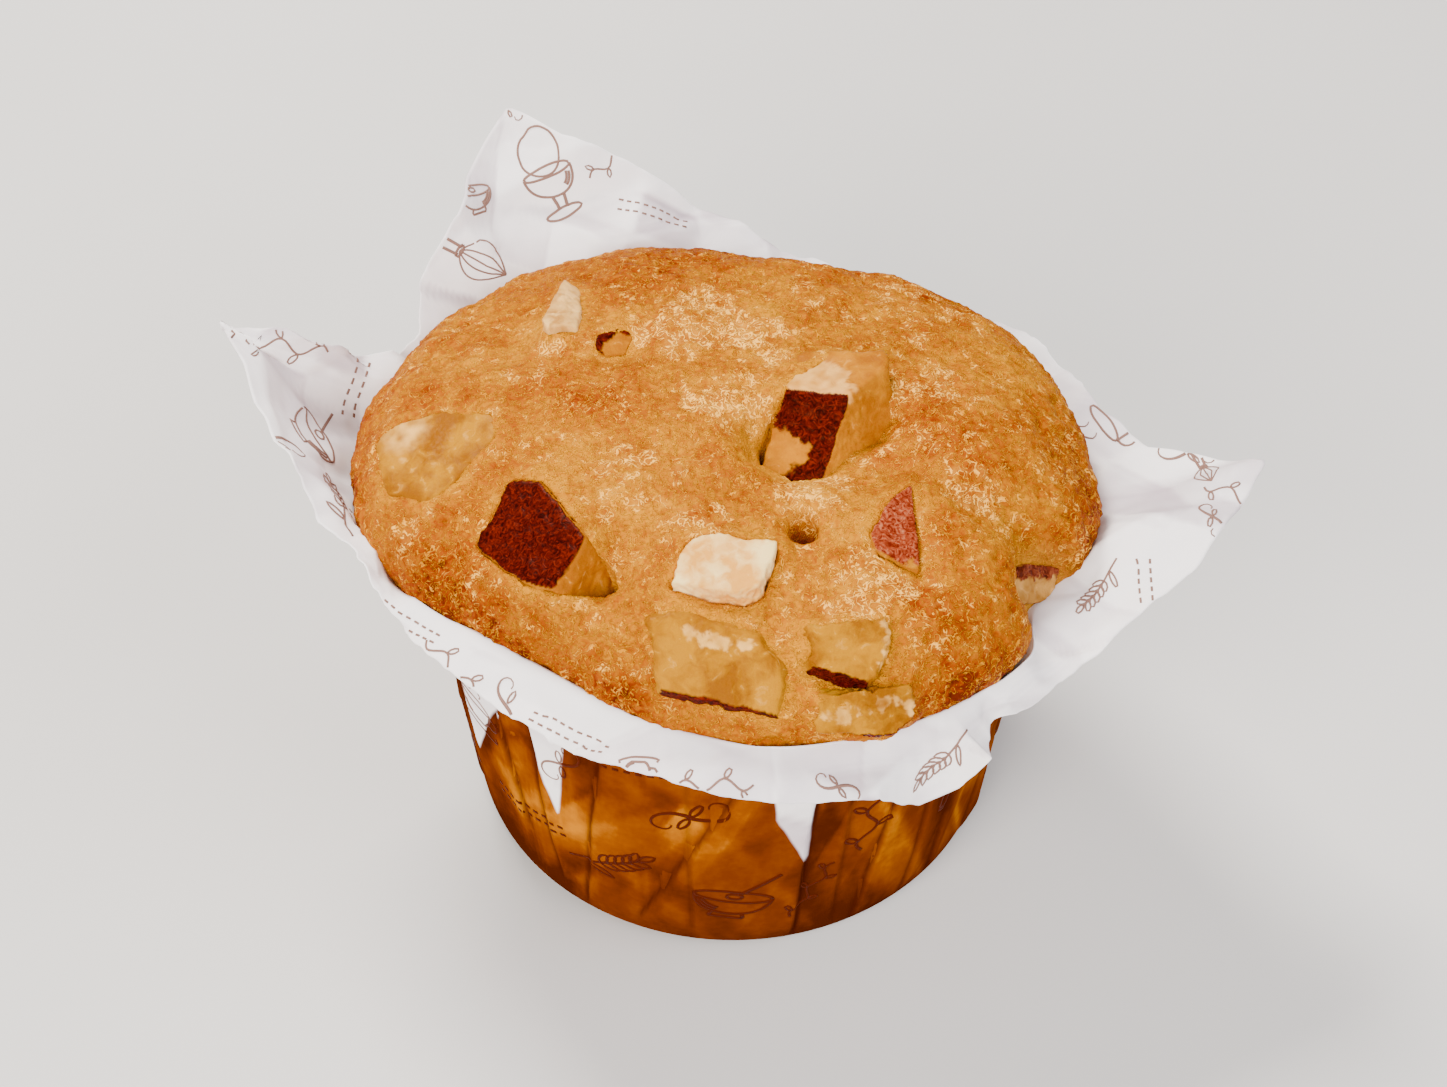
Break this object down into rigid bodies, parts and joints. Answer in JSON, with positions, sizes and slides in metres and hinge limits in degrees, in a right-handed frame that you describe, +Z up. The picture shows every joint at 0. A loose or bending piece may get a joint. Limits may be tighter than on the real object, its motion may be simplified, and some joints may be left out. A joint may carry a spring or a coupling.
{
  "type": "sweet potato muffin in a paper tulip case",
  "caption": "Domed golden muffin with skin-on sweet potato dice baked into its crust, in a flared tulip case of printed greaseproof paper.",
  "frame": {"origin": "centre of the underside of the paper case, on the surface it stands on", "axes": "+Z up; +X towards the longest petal of the paper; +Y away from the side seen in the picture"},
  "size_m": [0.1123, 0.0906, 0.0596],
  "materials": {
    "greaseproof_paper": "thin bleached greaseproof paper, printed in brown line, soaked translucent orange-brown where it lies on the cake",
    "baked_crust": "baked cake crust, golden yellow to orange brown, fine pebbled grain with an oily sugar gloss",
    "potato_flesh": "cooked sweet potato flesh, waxy and slightly translucent, yellow to cream",
    "potato_skin": "cooked sweet potato skin, dark wine red, finely wrinkled, satin"
  },
  "bodies": {
    "root": {"paper_case": "greaseproof_paper", "muffin": "baked_crust", "sweet_potato_1": "potato_skin", "sweet_potato_2": "potato_skin", "sweet_potato_3": "potato_flesh", "sweet_potato_4": "potato_flesh", "sweet_potato_5": "potato_skin", "sweet_potato_6": "potato_flesh", "sweet_potato_7": "potato_flesh", "sweet_potato_8": "potato_flesh", "sweet_potato_9": "potato_flesh", "sweet_potato_10": "potato_flesh", "sweet_potato_11": "potato_skin"}
  },
  "joints": []
}
